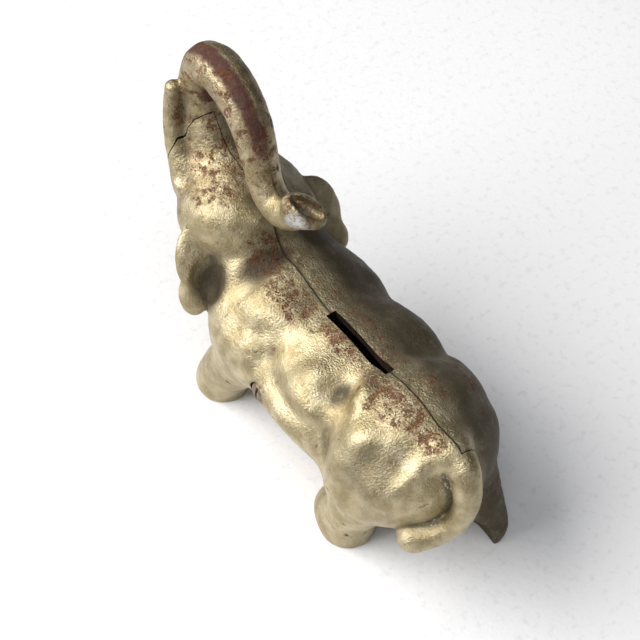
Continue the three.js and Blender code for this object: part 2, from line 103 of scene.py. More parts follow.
# Masses: centre, radii, turn about X, Y and Z in degrees, blend.
TORSO = [
    ((0, -19, 51), (35.5, 31, 29), (0, 0, 0), 0),
    ((0, 20, 51.5), (35, 44, 27), (0, 0, 0), 9),
    ((0, 56, 51.5), (34.2, 31, 32.5), (0, 0, 0), 12),
    ((0, -36, 62), (27, 28, 25), (-30, 0, 0), 10),
    ((0, -58, 86), (27, 25, 20.5), (-6, 0, 0), 5),
]
MUZZLE = ((0, -75, 92), (17, 18, 19), (0, 0, 0), 8)

# Limbs: stations of (x, y, z, radius).
LEGS = [
    [(16, -20, 48, 18), (20.5, -29, 30, 13.5), (23.5, -38, 15, 11.8), (24.8, -42, 4, 12)],
    [(-16, -14, 48, 18), (-20, -14, 30, 14), (-22, -16, 15, 12.2), (-22.5, -18, 4, 12)],
    [(14, 54, 48, 18), (19, 53, 30, 13), (21.5, 49, 15, 11.5), (22, 47, 4, 12)],
    [(-14, 58, 48, 18), (-19, 66, 30, 14), (-21.5, 76, 14, 10.5), (-22.2, 79.5, 4, 10)],
]
TRUNK = [
    (0, -74, 94, 13.5), (0, -80, 106, 12), (-0.8, -85, 119, 10), (-1.3, -85.5, 131.5, 9.2),
    (-1.3, -81, 141, 9), (-1.3, -71.5, 145.4, 8.9), (-1.2, -60, 143.2, 8.6), (-0.9, -51, 135.3, 8.1),
    (-0.5, -45.5, 124.6, 7.5), (0.2, -41.2, 113.8, 6.9), (0.2, -34.7, 106.6, 6.6), (-0.5, -26.2, 107.6, 6.7),
    (-1.6, -19, 113.2, 6),
]
JAW = [(0, -62, 80, 14), (0, -80, 84, 9), (0, -92, 91, 5.5)]
TUSK = [(15, -74, 92, 7), (14.5, -83, 108, 4.6), (13, -87, 121, 3.4), (11, -88, 131, 3)]
TAIL = [
    (0, 77, 73, 6.5), (0, 85.5, 72, 6.3), (1.8, 91.5, 61, 5.2), (4.5, 91.5, 49, 4.5), (10, 88, 40.5, 4.9),
    (17.5, 82, 36.5, 6.6),
]
TAIL_ROOT = ((0, 76, 74), (9.5, 10, 7.5), (25, 0, 0), 7)


# ---- Distance fields ---------------------------------------------------------------------------

def smooth_min(a, b, blend):
    """Smaller of two distances, melted together over the width of the blend."""
    if blend <= 0:
        return np.minimum(a, b)
    overlap = np.maximum(blend - np.abs(a - b), 0) / blend
    return np.minimum(a, b) - overlap ** 3 * (blend / 6)


def turn_matrix(degrees):
    """Rotation about X, then Y, then Z."""
    a, b, c = np.radians(degrees)
    about_x = np.array([[1, 0, 0], [0, math.cos(a), -math.sin(a)], [0, math.sin(a), math.cos(a)]])
    about_y = np.array([[math.cos(b), 0, math.sin(b)], [0, 1, 0], [-math.sin(b), 0, math.cos(b)]])
    about_z = np.array([[math.cos(c), -math.sin(c), 0], [math.sin(c), math.cos(c), 0], [0, 0, 1]])
    return about_z @ about_y @ about_x


class Mass:
    """A turned ellipsoid."""

    def __init__(self, centre, radii, turn=(0, 0, 0)):
        self.centre = np.array(centre, float)
        self.radii = np.array(radii, float)
        self.turn = turn_matrix(turn)
        reach = np.sqrt(((self.turn * self.radii) ** 2).sum(axis=1))
        self.low, self.high = self.centre - reach, self.centre + reach

    def mirrored(self):
        twin = Mass(self.centre * (-1, 1, 1), self.radii)
        flip = np.diag([-1.0, 1.0, 1.0])
        twin.turn = flip @ self.turn
        twin.low, twin.high = self.low * (-1, 1, 1), self.high * (-1, 1, 1)
        twin.low[0], twin.high[0] = twin.high[0], twin.low[0]
        return twin

    def depth(self, x, y, z):
        """Squared distance from the centre, 1 on the surface."""
        x, y, z = x - self.centre[0], y - self.centre[1], z - self.centre[2]
        total = 0
        for axis in range(3):
            m = self.turn[:, axis]
            total = total + ((m[0] * x + m[1] * y + m[2] * z) / self.radii[axis]) ** 2
        return total

    def distance(self, x, y, z):
        x, y, z = x - self.centre[0], y - self.centre[1], z - self.centre[2]
        inner, slope = 0, 1e-9
        for axis in range(3):
            m = self.turn[:, axis]
            u = (m[0] * x + m[1] * y + m[2] * z) / self.radii[axis]
            inner = inner + u * u
            slope = slope + (u / self.radii[axis]) ** 2
        inner = np.sqrt(inner)
        return inner * (inner - 1) / np.sqrt(slope)


def smooth_line(stations, steps=4):
    """Uniform Catmull-Rom line through the stations."""
    p = np.array(stations, float)
    q = np.vstack([2 * p[0] - p[1], p, 2 * p[-1] - p[-2]])
    line = []
    for a, b, c, d in zip(q, q[1:], q[2:], q[3:]):
        for t in np.arange(steps) / steps:
            curve = (3 * b - a - 3 * c + d) * t ** 3 + (2 * a - 5 * b + 4 * c - d) * t ** 2 + (c - a) * t
            line.append(b + 0.5 * curve)
    line.append(p[-1])
    return np.array(line)


class Limb:
    """A chain of tapering round segments."""

    def __init__(self, stations, smooth=True):
        self.line = smooth_line(stations) if smooth else np.array(stations, float)
        self.low = (self.line[:, :3] - self.line[:, 3:]).min(axis=0)
        self.high = (self.line[:, :3] + self.line[:, 3:]).max(axis=0)

    def mirrored(self):
        return Limb(self.line * (-1, 1, 1, 1), smooth=False)

    def distance(self, x, y, z):
        best = np.inf
        for a, b in zip(self.line, self.line[1:]):
            along = b[:3] - a[:3]
            px, py, pz = x - a[0], y - a[1], z - a[2]
            t = np.clip((px * along[0] + py * along[1] + pz * along[2]) / (along @ along), 0, 1)
            away = np.sqrt((px - t * along[0]) ** 2 + (py - t * along[1]) ** 2 + (pz - t * along[2]) ** 2)
            best = np.minimum(best, away - a[3] - t * (b[3] - a[3]))
        return best


class Field:
    """Signed distances on a grid over the whole elephant."""

    def __init__(self):
        self.size = np.ceil((GRID_HIGH - GRID_LOW) / VOXEL).astype(int) + 1
        self.values = np.full(self.size, EMPTY, np.float32)

    def window(self, shape, margin):
        """Slices and coordinates of the grid round a shape."""
        first = np.clip(np.floor((shape.low - margin - GRID_LOW) / VOXEL).astype(int), 0, self.size - 1)
        last = np.clip(np.ceil((shape.high + margin - GRID_LOW) / VOXEL).astype(int) + 1, 1, self.size)
        axes = [GRID_LOW[k] + VOXEL * np.arange(first[k], last[k], dtype=np.float32) for k in range(3)]
        where = tuple(slice(a, b) for a, b in zip(first, last))
        return where, np.meshgrid(*axes, indexing="ij", sparse=True)

    def add(self, shape, blend=0.0):
        where, at = self.window(shape, FAR)
        self.values[where] = smooth_min(self.values[where], shape.distance(*at), blend)

    def carve(self, shape, blend=0.0):
        where, at = self.window(shape, FAR)
        self.values[where] = -smooth_min(-self.values[where], shape.distance(*at), blend)

    def swell(self, mass, height):
        """A soft swelling, or a hollow where the height is negative."""
        where, at = self.window(mass, FAR)
        self.values[where] -= height * np.exp(-mass.depth(*at))

    def add_pair(self, shape, blend=0.0):
        self.add(shape, blend)
        self.add(shape.mirrored(), blend)

    def sample(self, points, values=None):
        """Trilinear values at points in millimetres."""
        values = self.values if values is None else values
        at = np.clip((points - GRID_LOW) / VOXEL, 0, self.size - 1.001)
        cell = at.astype(int)
        f = at - cell
        total = 0
        for dx in (0, 1):
            for dy in (0, 1):
                for dz in (0, 1):
                    weight = 1
                    for axis, d in enumerate((dx, dy, dz)):
                        weight = weight * (f[:, axis] if d else 1 - f[:, axis])
                    total = total + weight * values[cell[:, 0] + dx, cell[:, 1] + dy, cell[:, 2] + dz]
        return total

    def blurred(self, radius):
        """The grid averaged with a bell of that radius in millimetres, one axis at a time."""
        reach = int(math.ceil(2 * radius / VOXEL))
        weights = np.exp(-0.5 * (np.arange(-reach, reach + 1) * VOXEL / radius) ** 2)
        weights /= weights.sum()
        out = np.clip(self.values, -CLIP, CLIP)
        for axis in range(3):
            total = np.zeros_like(out)
            for shift, weight in zip(range(-reach, reach + 1), weights):
                total += np.roll(out, shift, axis=axis) * weight
            out = total
        return out


# ---- The animal --------------------------------------------------------------------------------

# Soft swellings and hollows on the left side, mirrored to the right: centre, radii, turn, height.
RELIEF = [
    ((20, -15, 77), (12, 12, 9), (0, 0, 0), 2.4),        # shoulder top
    ((31, -24, 62), (9, 11, 13), (0, 0, 0), 1.6),        # shoulder blade
    ((30, -17, 68), (5, 4.5, 6), (0, 0, 0), -1.5),
    ((25, -9.5, 70), (5, 4, 6), (0, 0, 0), -1.7),
    ((30, -9, 63), (6.5, 6, 7), (0, 0, 0), 2.0),
    ((26, -1.5, 68), (5, 5, 7), (0, 0, 0), -1.6),
    ((14, -4, 79), (9, 8, 7), (0, 20, 0), 1.2),          # withers
    ((34, 0, 49), (8, 10, 13), (10, 0, 0), 2.4),         # first rib
    ((17, 12.5, 77), (7, 5, 7), (0, 0, 0), -1.8),
    ((22, 21, 75), (8, 7.5, 8), (0, 0, 0), 2.2),         # loin
    ((18, 33, 76), (7, 5, 9), (0, 0, 0), -3.8),          # in front of the hip
    ((13, 41.5, 80.5), (11, 4.2, 7), (0, 0, 22), 3.0),   # fold before the hip
    ((24, 41, 74), (5, 4, 6), (0, 0, 0), -1.8),
    ((29, 27, 68), (7, 14, 6), (0, 0, 0), 2.2),          # upper flank fold
    ((34, 20, 62), (7, 17, 3.8), (-6, 0, 0), -2.4),      # groove under it
    ((36, 14, 54), (7, 15, 6.5), (-6, 0, 0), 1.8),       # lower flank fold
    ((31, 39, 62), (8, 4.8, 15), (20, 0, 0), -4.0),      # belly from thigh
    ((26, 56, 76), (8, 7.5, 8), (0, 0, 0), 3.0),         # hip knob
    ((34, 53, 64), (8, 8, 9), (0, 0, 0), 2.4),           # thigh knob
    ((27, 64, 74), (6, 5, 7), (0, 0, 0), -2.2),
    ((20, 72, 74), (9, 4.6, 9), (0, 35, 0), -2.4),       # rump crease
    ((15, 78, 73), (10, 6, 8), (0, 38, 0), 1.8),         # rump ridge
    ((35, 62, 56), (6.5, 6.5, 8), (0, 0, 0), -2.2),
    ((28, 74, 60), (10, 9, 9), (0, 0, 0), 2.0),          # buttock
    ((34, 58, 45), (9, 16, 8), (0, 0, 0), 2.6),          # lower thigh edge
    ((19, -47, 99), (13, 13, 11), (0, 0, 0), 2.6),       # crown dome
    ((27, -60, 86), (7, 8, 8), (0, 0, 0), 1.2),          # cheek
    ((21, -72, 103), (6, 5, 8), (0, 0, 0), -1.8),        # cheek from crown
    ((19, -27.5, 83), (17, 5, 9), (0, 0, 0), -4.5),      # head from neck
    ((0, -27, 84), (9, 5, 7), (0, 0, 0), -1.6),          # nape
    ((0, -43, 103), (9, 9, 9), (0, 0, 0), -2.2),         # under the trunk's tip
    ((28, -37, 54), (10, 9, 14), (0, 0, 0), 2.6),        # breast
]
# The right side is the smoother one.
RIGHT_SHARE = 0.35
RIGHT_RELIEF = [
    ((-20, -52, 97), (10, 14, 9), (0, 0, 0), -3.6),      # crown falls away
    ((-22, -41, 86), (9, 8, 9), (0, 0, 0), 3.6),         # web between crown and ear
    ((-32, 22, 62), (10, 26, 14), (0, 0, 0), 2.6),       # even flank
    ((-29, 44, 66), (9, 10, 11), (0, 0, 0), 1.6),        # flank into thigh
]
# Ears: two plates each and the dish behind them, as centre, radii, turn.
LEFT_EAR = [
    ((26, -51, 76), (10.5, 4.0, 16.5), (24, -12, -8)),
    ((31.5, -47, 62.5), (7, 4.6, 11), (26, -10, -28)),
]
LEFT_DISH = ((30, -41.5, 72), (6.5, 6, 10), (24, -12, -14))
RIGHT_EAR = [
    ((-28, -47, 75), (10.5, 4.2, 15.5), (24, 12, 8)),
    ((-33.5, -41, 61.5), (5, 4.6, 8.5), (26, 10, 10)),
]
RIGHT_DISH = ((-30, -36.5, 71), (5, 5, 8.5), (24, 12, 14))
EAR_BLEND = 3
TRUNK_TIP = ((-2, -17.8, 115.2), (9.4, 5.8, 5.8), (33.3, 19.5, 118.1))
TRUNK_MOUTH = ((-2.2, -15.2, 119.4), (8.2, 2.8, 5.5), (33.3, 19.5, 118.1))


def build_body():
    """The torso alone: its offset is the coin space."""
    field = Field()
    for centre, radii, turn, blend in TORSO:
        field.add(Mass(centre, radii, turn), blend)
    return field


def add_head(field):
    """Muzzle, jaw, tusks, eyes and ears."""
    centre, radii, turn, blend = MUZZLE
    field.add(Mass(centre, radii, turn), blend)
    field.add(Limb(JAW), 6)
    field.carve(Mass((0, -95, 99), (9, 10, 2.2), (-38, 0, 0)), 2)
    field.add_pair(Limb(TUSK), 2.5)
    field.add_pair(Mass((19.5, -73, 95), (3.2, 3.8, 3), (0, 0, 0)), 2)
    for plates, dish in ((LEFT_EAR, LEFT_DISH), (RIGHT_EAR, RIGHT_DISH)):
        for plate in plates:
            field.add(Mass(*plate), EAR_BLEND)
        field.carve(Mass(*dish), EAR_BLEND)


def add_trunk(field):
    """The raised trunk and its open end."""
    field.add(Limb(TRUNK), 4)
    field.add(Mass(*TRUNK_TIP), 3)
    field.carve(Mass(*TRUNK_MOUTH), 1)


def add_feet(field):
    """The long left hind sole, and the right hind foot whose inner side is flat."""
    field.add(Mass((21.5, 40, 5), (10.5, 10, 9)), 5)
    field.carve(Mass((-12.5, 82, 2), (9, 16, 14)), 1)


def build_animal():
    field = build_body()
    for stations in LEGS:
        field.add(Limb(stations), 10)
    for centre, radii, turn, height in RELIEF:
        swelling = Mass(centre, radii, turn)
        field.swell(swelling, height)
        field.swell(swelling.mirrored(), height * RIGHT_SHARE)
    for centre, radii, turn, height in RIGHT_RELIEF:
        field.swell(Mass(centre, radii, turn), height)
    add_head(field)
    add_trunk(field)
    add_feet(field)
    centre, radii, turn, blend = TAIL_ROOT
    field.add(Mass(centre, radii, turn), blend)
    field.add(Limb(TAIL), 2)
    return field


# ---- Meshes ------------------------------------------------------------------------------------

PAINTED, BARE = 0, 1


def two_material_object(name, mesh, place):
    """An object with places for paint and for bare iron, all its faces in one of them."""
    for _ in (PAINTED, BARE):
        mesh.materials.append(None)
    mesh.polygons.foreach_set("material_index", np.full(len(mesh.polygons), place, np.int32))
    made = bpy.data.objects.new(name, mesh)
    bpy.context.collection.objects.link(made)
    return made


def field_mesh(name, field, place, offset=0.0):
    """A field's surface as a mesh object in metres."""
    grid = openvdb.FloatGrid(EMPTY)
    grid.copyFromArray((field.values + offset).astype(float))
    points, triangles, quads = grid.convertToPolygons(isovalue=0.0, adaptivity=0.0)
    mesh = bpy.data.meshes.new(name)
    faces = [tuple(int(i) for i in face[::-1]) for face in itertools.chain(quads, triangles)]
    mesh.from_pydata((points * VOXEL + GRID_LOW) * MM, [], faces)
    mesh.update()
    return two_material_object(name, mesh, place)


def mesh_object(name, points, faces):
    """An object from points in millimetres, with its faces turned outward."""
    mesh = bpy.data.meshes.new(name)
    mesh.from_pydata([Vector(p) * MM for p in points], [], faces)
    work = bmesh.new()
    work.from_mesh(mesh)
    bmesh.ops.recalc_face_normals(work, faces=work.faces)
    work.to_mesh(mesh)
    work.free()
    return two_material_object(name, mesh, BARE)


def box(name, low, high):
    corners = [(x, y, z) for x in (low[0], high[0]) for y in (low[1], high[1]) for z in (low[2], high[2])]
    faces = [(0, 1, 3, 2), (4, 6, 7, 5), (0, 4, 5, 1), (2, 3, 7, 6), (0, 2, 6, 4), (1, 5, 7, 3)]
    return mesh_object(name, corners, faces)


def prism_x(name, outline, x0, x1, shift=(0, 0)):
    """A solid over an outline of (y, z) points, from x0 to x1."""
    count = len(outline)
    points = [(x, y + shift[0], z + shift[1]) for x in (x0, x1) for y, z in outline]
    faces = [tuple(range(count)), tuple(range(count, 2 * count))]
    faces += [(i, (i + 1) % count, count + (i + 1) % count, count + i) for i in range(count)]
    return mesh_object(name, points, faces)


def bar_x(name, radius, x0, x1, sides=64):
    """A round bar along the screw's line."""
    turns = [2 * math.pi * i / sides for i in range(sides)]
    outline = [(SCREW_Y + radius * math.cos(a), SCREW_Z + radius * math.sin(a)) for a in turns]
    return prism_x(name, outline, x0, x1)


def apply_modifiers(thing):
    """Makes the object's shape with its modifiers its own, and drops them."""
    graph = bpy.context.evaluated_depsgraph_get()
    thing.data = bpy.data.meshes.new_from_object(thing.evaluated_get(graph))
    thing.modifiers.clear()


def combine(base, operation, *others, solver="MANIFOLD"):
    """Joins, cuts or intersects base with each of the others, which are used up."""
    for other in others:
        modifier = base.modifiers.new("cut", "BOOLEAN")
        modifier.operation = operation
        modifier.solver = solver
        modifier.object = other
        apply_modifiers(base)
        bpy.data.objects.remove(other)
    return base


def copy_of(source, name):
    twin = bpy.data.objects.new(name, source.data.copy())
    bpy.context.collection.objects.link(twin)
    return twin


# ---- The castings ------------------------------------------------------------------------------

def roughen(skin):
    """Pushes casting lumps of every size in and out of the skin."""
    for size, height in LUMPS:
        texture = bpy.data.textures.new("lumps", "CLOUDS")
        texture.noise_scale = size * MM
        texture.noise_depth = 1
        modifier = skin.modifiers.new("lumps", "DISPLACE")
        modifier.texture = texture
        modifier.texture_coords = "LOCAL"
        modifier.strength = height * MM
        modifier.mid_level = 0.5
    apply_modifiers(skin)


def build_shell(animal, body):
    """The whole hollow casting before it is parted, with its slot, bosses, hole and seats."""
    skin = field_mesh("skin", animal, PAINTED)
    roughen(skin)
    ground = box("cut_ground", (-REACH, -REACH, 0), (REACH, REACH, REACH))
    combine(skin, "INTERSECT", ground)
    boss = bar_x("cut_boss", BOSS_RADIUS, -REACH / 2, REACH / 2)
    combine(boss, "INTERSECT", copy_of(skin, "cut_skin"))
    cavity = field_mesh("cut_cavity", body, BARE, WALL)
    combine(skin, "DIFFERENCE", cavity)
    combine(skin, "UNION", boss)
    half_slot = SLOT_WIDTH / 2
    slot_ends = (SLOT_Y - SLOT_LENGTH / 2, SLOT_Y + SLOT_LENGTH / 2)
    slot = box("cut_slot", (-half_slot, slot_ends[0], SLOT_BOTTOM), (half_slot, slot_ends[1], REACH / 2))
    hole = bar_x("cut_hole", HOLE_RADIUS, -REACH / 2, REACH / 2)
    seat = bar_x("cut_seat", SEAT_RADIUS, SEAT_X, REACH / 2)
    nut_half = NUT_SIDE / 2 + NUT_CLEARANCE
    pocket = box(
        "cut_pocket", (-REACH / 2, SCREW_Y - nut_half, SCREW_Z - nut_half),
        (NUT_SEAT_X, SCREW_Y + nut_half, SCREW_Z + nut_half))
    return combine(skin, "DIFFERENCE", slot, hole, seat, pocket)


def cut_widened_key(room, outline, x0, x1):
    """Cuts a key out of a half's room, with the joint gap round it."""
    for shift in itertools.product((-JOINT_GAP, JOINT_GAP), repeat=2):
        combine(room, "DIFFERENCE", prism_x("cut_key", outline, x0, x1, shift))


def build_rooms():
    """The room each half takes: a side of the middle plane, with the muzzle keyed right, the tail left."""
    half_gap = JOINT_GAP / 2
    left = box("left_room", (half_gap, -REACH, -1), (REACH, REACH, REACH))
    cut_widened_key(left, MUZZLE_KEY, -1, REACH + 1)
    combine(left, "UNION", prism_x("cut_tail", TAIL_KEY, TAIL_KEY_X, 1))
    front_high = (half_gap + STEP, STEP_Y + JOINT_GAP, REACH + 1)
    combine(left, "DIFFERENCE", box("cut_front", (-1, -REACH - 1, -2), front_high))
    right = box("right_room", (-REACH, -REACH, -1), (-half_gap, REACH, REACH))
    cut_widened_key(right, TAIL_KEY, TAIL_KEY_X - JOINT_GAP, 1)
    combine(right, "UNION", prism_x("cut_muzzle", MUZZLE_KEY, -1, REACH - 1))
    front_high = (STEP - half_gap, STEP_Y, REACH)
    combine(right, "UNION", box("cut_front", (-1, -REACH, -1), front_high))
    return left, right


def keep_largest(piece):
    """Drops crumbs that the cuts leave, keeping the one big body."""
    work = bmesh.new()
    work.from_mesh(piece.data)
    unseen = set(work.verts)
    groups = []
    while unseen:
        group = [unseen.pop()]
        for vertex in group:
            for edge in vertex.link_edges:
                other = edge.other_vert(vertex)
                if other in unseen:
                    unseen.discard(other)
                    group.append(other)
        groups.append(group)
    groups.sort(key=len)
    for group in groups[:-1]:
        bmesh.ops.delete(work, geom=group, context="VERTS")
    work.to_mesh(piece.data)
    work.free()


def ramp(values, start, end):
    """0 below start, 1 above end, smooth between."""
    t = np.clip((values - start) / (end - start), 0, 1)
    return t * t * (3 - 2 * t)


def near(points, centre, radii):
    """1 at a place, fading to 0 on an ellipsoid round it."""
    away = np.sqrt((((points - np.array(centre)) / np.array(radii)) ** 2).sum(axis=1))
    return 1 - ramp(away, 0.35, 1.0)


def patches(points, table):
    """The strongest of a table's soft round patches at each point."""
    return np.maximum.reduce([strength * near(points, centre, radii) for centre, radii, strength in table])


# Where the paint has aged, as soft round patches: centre, radii, strength.
RUST_PATCHES = [
    ((10, -11, 79), (12, 20, 12), 1.0),      # shoulder
    ((5, 16, 79), (7, 24, 9), 1.0),          # left edge of the slot
    ((8, 52, 84), (13, 28, 12), 0.85),       # loin
    ((-6, 20, 78), (9, 44, 12), 0.55),       # right of the slot
    ((8, -62, 106), (26, 26, 20), 0.76),     # crown
    ((6, -30, 84), (16, 20, 14), 0.75),      # nape
    ((7, 73, 82), (8, 11, 8), 1.1),          # before the tail
    ((2, -46, 121), (9, 9, 13), 1.0),        # trunk above its last bend
    ((24, -70, 96), (10, 14, 14), 0.5),      # left cheek
    ((-26, 54, 70), (10, 16, 14), 0.45),     # right hip
    ((-9, 54, 84), (5, 14, 6), 0.7),         # right of the seam, behind the slot
]
# Soot and painted shade, as soft round patches: centre, radii, strength. The trunk's mouth is dark with
# grime and with painted shade for its depth; the rest is painted shade behind the ears, in the neck crease,
# before the hip and over the thigh.
SOOT_AND_SHADE_PATCHES = [
    ((-2, -14.5, 118), (8, 6.5, 5), 1.0),    # trunk's mouth
    ((26, -40.5, 69), (12, 10, 15), 1.7),    # behind the left ear
    ((-19, -33, 80), (17, 15, 20), 1.25),    # behind the right ear
    ((12, -28.5, 83), (21, 8.5, 10), 1.1),   # neck crease
    ((18, 34, 72), (7, 5, 8), 0.7),          # in front of the hip
    ((27, 66, 66), (16, 14, 18), 0.42),      # thigh
]
PLUM_PATCHES = [
    ((-9, 14, 78), (4, 10, 7), 0.6),
    ((-8, 34, 80), (3.5, 10, 7), 0.6),
]
# Pale spots painted in the tail's curl and beside its root: centre, radii, strength.
PALE_SPOT_PATCHES = [
    ((9, 86, 44), (10, 5, 5), 1.0),          # inside the tail's curl
    ((6, 84, 64), (4, 5, 8), 1.0),           # beside the tail root
]
WORN_PATCHES = [((3.5, -15.5, 113), (8, 7, 7), 1.0)]
TRUNK_RUST = 0.62
# Painted shade down the right side, away from the lamps: the first from the neck back, the second over the
# whole side.
RIGHT_BACK_SHADE = 0.96
RIGHT_HEAD_SHADE = 0.45


def paint_masks(piece, animal, body, soft):
    """Gives each point of a casting how hollow, rusty, plum-dark, worn, dark with soot and painted shade,
    pale-spotted or deep it is.
    """
    mesh = piece.data
    points = np.empty(len(mesh.vertices) * 3)
    mesh.vertices.foreach_get("co", points)
    points = points.reshape(-1, 3) / MM
    x, y, z = points.T
    hollow = ramp(-animal.sample(points, soft), 0.05, 1.1)
    worn = patches(points, WORN_PATCHES)
    rust = np.maximum(patches(points, RUST_PATCHES), TRUNK_RUST * ramp(z, 108, 118)) * (1 - worn)
    trunk_loop = ramp(z, 108, 116) * (1 - ramp(y, -43, -34)) * ramp(z, 122, 130)
    band = 1 - ramp(np.abs(x - 1.2), 1.2, 5.6)
    plum = np.maximum(0.9 * trunk_loop * band, patches(points, PLUM_PATCHES))
    along_seam = ramp(y, -40, -34) * (1 - ramp(y, 82, 85)) * ramp(z, 66, 70)
    right_side = 1 - ramp(x, -16, -1)
    # Darkening for soot and painted shade: the patches, a dark line along the seam, and painted shade down
    # the right side.
    soot_and_shade = np.maximum.reduce([
        patches(points, SOOT_AND_SHADE_PATCHES),
        (1 - ramp(np.abs(x), 0.2, 0.9)) * along_seam,
        RIGHT_BACK_SHADE * right_side * ramp(y, -42, -28),
        RIGHT_HEAD_SHADE * right_side,
    ])
    pale_spot = patches(points, PALE_SPOT_PATCHES)
    deep = ramp(-body.sample(points), WALL - 0.5, WALL - 0.1) * (1 - ramp(z, 60, 70))
    masks = {
        "hollow": hollow, "rust": rust, "plum": plum, "worn": worn, "soot_and_shade": soot_and_shade, "pale_spot": pale_spot,
        "deep": deep,
    }
    for name, values in masks.items():
        layer = mesh.attributes.new(name, "FLOAT", "POINT")
        layer.data.foreach_set("value", np.asarray(values, np.float32))


def smooth_but_sharp(piece, degrees):
    """Smooth shading with crisp edges where faces meet at a steep angle."""
    for polygon in piece.data.polygons:
        polygon.use_smooth = True
    piece.data.set_sharp_from_angle(angle=math.radians(degrees))


def build_castings():
    """Both halves, cut from one sculpted shell."""
    body = build_body()
    animal = build_animal()
    shell = build_shell(animal, body)
    soft = animal.blurred(HOLLOW_RADIUS) - np.clip(animal.values, -CLIP, CLIP)
    halves = []
    for name, room in zip(("left_half_casting", "right_half_casting"), build_rooms()):
        half = copy_of(shell, name)
        combine(half, "INTERSECT", room)
        keep_largest(half)
        paint_masks(half, animal, body, soft)
        smooth_but_sharp(half, CASTING_EDGE)
        halves.append(half)
    bpy.data.objects.remove(shell)
    return halves


# ---- Screw and nut -----------------------------------------------------------------------------

def lathe_x(name, profile, x_base, sides=48):
    """A turned solid about the screw's line from (x, radius) stations, closed on the axis."""
    points = [(x_base + profile[0][0], SCREW_Y, SCREW_Z)]
    for x, radius in profile[1:-1]:
        for i in range(sides):
            a = 2 * math.pi * i / sides
            points.append((x_base + x, SCREW_Y + radius * math.cos(a), SCREW_Z + radius * math.sin(a)))
    points.append((x_base + profile[-1][0], SCREW_Y, SCREW_Z))
    rings = len(profile) - 2
    faces = [(0, 1 + i, 1 + (i + 1) % sides) for i in range(sides)]
    for ring in range(rings - 1):
        start = 1 + ring * sides
        for i in range(sides):
            j = (i + 1) % sides
            faces.append((start + i, start + sides + i, start + sides + j, start + j))
    last = len(points) - 1
    start = 1 + (rings - 1) * sides
    faces += [(last, start + (i + 1) % sides, start + i) for i in range(sides)]
    return mesh_object(name, points, faces)


def build_screw():
    """A long slotted round-head screw; the last stretch of the shank is threaded."""
    base = SEAT_X + JOINT_GAP
    length = base - SHANK_END_X
    root = SHANK_RADIUS - THREAD_DEPTH
    profile = [(-length, 0), (-length, root - SHANK_TIP_TAPER)]
    x = SHANK_TIP_LENGTH - length
    while x < THREAD_LENGTH - length:
        crest = [(x + THREAD_PITCH * along, SHANK_RADIUS) for along in THREAD_CREST]
        profile += [(x, root), *crest]
        x += THREAD_PITCH
    profile += [(x, SHANK_RADIUS), (0, SHANK_RADIUS)]
    profile += [(0, HEAD_RADIUS - HEAD_BEVEL_INSET), (HEAD_BEVEL_HEIGHT, HEAD_RADIUS)]
    for i in range(DOME_STEPS):
        a = (i / DOME_STEPS) * math.pi / 2
        profile.append((HEAD_RIM + (HEAD_HEIGHT - HEAD_RIM) * math.sin(a), HEAD_RADIUS * math.cos(a)))
    profile.append((HEAD_HEIGHT, 0))
    screw = lathe_x("slotted_screw", profile, base)
    half_slot = DRIVER_SLOT_WIDTH / 2
    slot = box(
        "cut_driver",
        (base + HEAD_HEIGHT - DRIVER_SLOT_DEPTH, SCREW_Y - half_slot, SCREW_Z - SEAT_RADIUS),
        (base + 10, SCREW_Y + half_slot, SCREW_Z + SEAT_RADIUS))
    combine(screw, "DIFFERENCE", slot, solver="EXACT")
    smooth_but_sharp(screw, STEEL_EDGE)
    return screw


def build_nut():
    """A square nut with its corners turned off and a grooved bore."""
    x1 = NUT_SEAT_X - NUT_SEAT_GAP
    x0 = x1 - NUT_THICKNESS
    side = NUT_SIDE / 2
    nut = box("chamfered_nut", (x0, SCREW_Y - side, SCREW_Z - side), (x1, SCREW_Y + side, SCREW_Z + side))
    face_radius, corner_radius = side * 1.12, side * 1.45
    rounding = lathe_x("cut_round", [
        (0, 0), (0, face_radius), (NUT_CORNER, corner_radius), (NUT_THICKNESS, corner_radius),
        (NUT_THICKNESS, 0),
    ], x0)
    combine(nut, "INTERSECT", rounding, solver="EXACT")
    bore = [(-1, 0), (-1, HOLE_RADIUS)]
    x = 0.0
    while x < NUT_THICKNESS:
        bore += [(x, HOLE_RADIUS), (x + NUT_THREAD_PITCH / 2, HOLE_RADIUS + NUT_THREAD_DEPTH)]
        x += NUT_THREAD_PITCH
    bore += [(NUT_THICKNESS + 1, HOLE_RADIUS), (NUT_THICKNESS + 1, 0)]
    combine(nut, "DIFFERENCE", lathe_x("cut_bore", bore, x0), solver="EXACT")
    smooth_but_sharp(nut, STEEL_EDGE)
    return nut


# ---- Materials ---------------------------------------------------------------------------------

